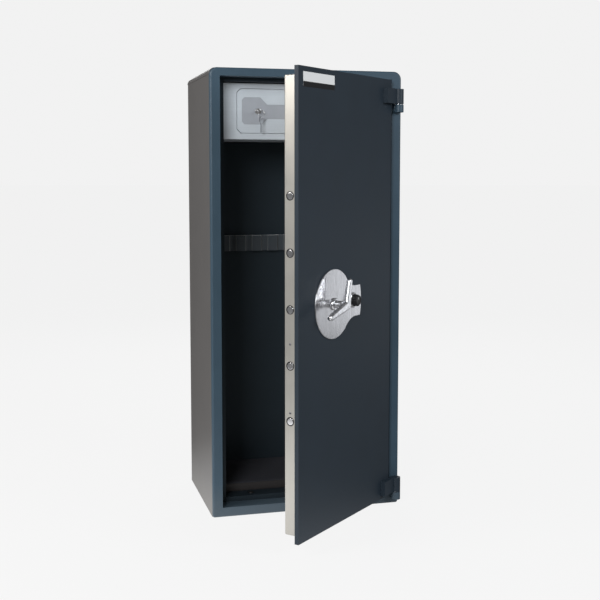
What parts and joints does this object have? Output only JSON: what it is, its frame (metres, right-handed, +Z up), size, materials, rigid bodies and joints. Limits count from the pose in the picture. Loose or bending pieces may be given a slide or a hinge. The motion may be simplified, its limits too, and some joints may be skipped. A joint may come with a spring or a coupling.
{
  "type": "gun safe",
  "caption": "Tall steel gun safe with a hinged door standing open, sliding boltwork worked by a lever handle, a keyed inner locker and a barrel rack.",
  "frame": {"origin": "centre of the cabinet's footprint, on the floor", "axes": "+Z up, -Y is the front where the doorway is, +X is the side that carries the door hinges"},
  "size_m": [0.6615, 0.8817, 1.5],
  "materials": {
    "body_paint_blue": "semi-gloss slate blue powder coat",
    "body_paint_grey": "semi-gloss warm grey powder coat",
    "door_paint": "semi-gloss anthracite powder coat",
    "liner_paint": "matt very dark slate paint",
    "casing_paint": "satin light grey paint",
    "locker_paint": "satin silver grey paint",
    "inlay_grey": "matt grey decorative sheet",
    "rack_foam": "dense foam with a flocked face",
    "satin_steel": "brushed stainless steel",
    "bright_steel": "polished plated steel",
    "dark_steel": "oiled bare steel",
    "black_plastic": "satin black plastic",
    "rubber": "ribbed black rubber",
    "fire_board": "gypsum fire board with paper faces",
    "label_white": "printed film, blank"
  },
  "bodies": {
    "cabinet": {"side_wrap": "body_paint_grey", "top_panel": "body_paint_grey", "front_frame": "body_paint_blue", "base_plate": "body_paint_grey", "inner_liner": "liner_paint", "fire_fill": "fire_board", "floor_plug_left": "black_plastic", "floor_plug_right": "black_plastic", "base_rack": "liner_paint", "butt_mat": "rubber", "barrel_rest": "rack_foam", "upper_frame_knuckle": "body_paint_blue", "lower_frame_knuckle": "body_paint_blue", "upper_hinge_pin": "bright_steel", "lower_hinge_pin": "bright_steel", "upper_thrust_washer": "bright_steel", "lower_thrust_washer": "bright_steel", "locker_shell": "locker_paint", "locker_fascia": "locker_paint", "locker_hinge_pin_upper": "bright_steel", "locker_hinge_pin_lower": "bright_steel"},
    "door": {"door_leaf": "door_paint", "door_fire_board": "fire_board", "upper_door_hinge": "door_paint", "lower_door_hinge": "door_paint", "boltwork_cover": "casing_paint", "cover_screw_1": "dark_steel", "cover_screw_2": "dark_steel", "cover_screw_3": "dark_steel", "cover_screw_4": "dark_steel", "edge_screw_1": "dark_steel", "edge_screw_2": "dark_steel", "bolt_guide": "dark_steel", "fixed_hinge_side_bolts": "bright_steel", "hard_plate": "dark_steel", "lock_case": "satin_steel", "lock_bezel": "bright_steel", "escutcheon": "satin_steel", "handle_collar": "bright_steel", "label_plate": "label_white"},
    "boltwork": {"bolt_carrier": "dark_steel", "locking_bolt_1": "bright_steel", "locking_bolt_2": "bright_steel", "locking_bolt_3": "bright_steel", "locking_bolt_4": "bright_steel", "locking_bolt_5": "bright_steel"},
    "handle": {"handle": "bright_steel", "handle_spindle": "dark_steel", "drive_crank": "dark_steel"},
    "lock_knob": {"lock_knob": "black_plastic"},
    "lock_bolt": {"lock_bolt": "bright_steel"},
    "locker_door": {"locker_door": "locker_paint", "locker_inlay": "inlay_grey", "locker_lock_case": "dark_steel", "locker_lock_body": "bright_steel"},
    "locker_bolt": {"locker_bolt": "bright_steel"},
    "locker_key": {"locker_plug": "satin_steel", "locker_key": "bright_steel"},
    "key_ring": {"key_ring": "bright_steel", "spare_key": "bright_steel"}
  },
  "joints": [
    {"name": "door_hinge", "type": "hinge", "parent": "cabinet", "child": "door", "pos_m": [0.3155, -0.249, 0], "axis": [0, 0, 1], "range_deg": [-42.7, 77.3]},
    {"name": "handle_turn", "type": "hinge", "parent": "door", "child": "handle", "pos_m": [0.01602, -0.52535, 0.75], "axis": [-0.6782, 0.7349, 0], "range_deg": [-60, 0]},
    {"name": "boltwork_slide", "type": "slide", "parent": "door", "child": "boltwork", "axis": [-0.7349, -0.6782, 0], "range_m": [0, 0.0261]},
    {"name": "lock_knob_turn", "type": "hinge", "parent": "door", "child": "lock_knob", "pos_m": [0.10237, -0.44567, 0.751], "axis": [-0.6782, 0.7349, 0], "range_deg": [-90, 0]},
    {"name": "lock_bolt_lift", "type": "slide", "parent": "door", "child": "lock_bolt", "axis": [0, 0, 1], "range_m": [0, 0.0101]},
    {"name": "locker_door_hinge", "type": "hinge", "parent": "cabinet", "child": "locker_door", "pos_m": [0.2165, -0.129, 1.366], "axis": [0, 0, 1], "range_deg": [0, 45]},
    {"name": "locker_key_turn", "type": "hinge", "parent": "locker_door", "child": "locker_key", "pos_m": [-0.147, -0.1325, 1.3655], "axis": [0, -1, 0], "range_deg": [-90.1, 0]},
    {"name": "locker_bolt_slide", "type": "slide", "parent": "locker_door", "child": "locker_bolt", "axis": [-1, 0, 0], "range_m": [0, 0.012]},
    {"name": "key_ring_swing", "type": "hinge", "parent": "locker_door", "child": "key_ring", "pos_m": [-0.147, -0.1325, 1.3655], "axis": [0, -1, 0], "range_deg": [0, 10]}
  ],
  "couplings": [
    {"joint": "boltwork_slide", "follows": "handle_turn", "m_per_rad": -0.024828},
    {"joint": "lock_bolt_lift", "follows": "lock_knob_turn", "m_per_rad": -0.0063662},
    {"joint": "locker_key_turn", "follows": "locker_bolt_slide", "rad_per_m": -130.9}
  ]
}
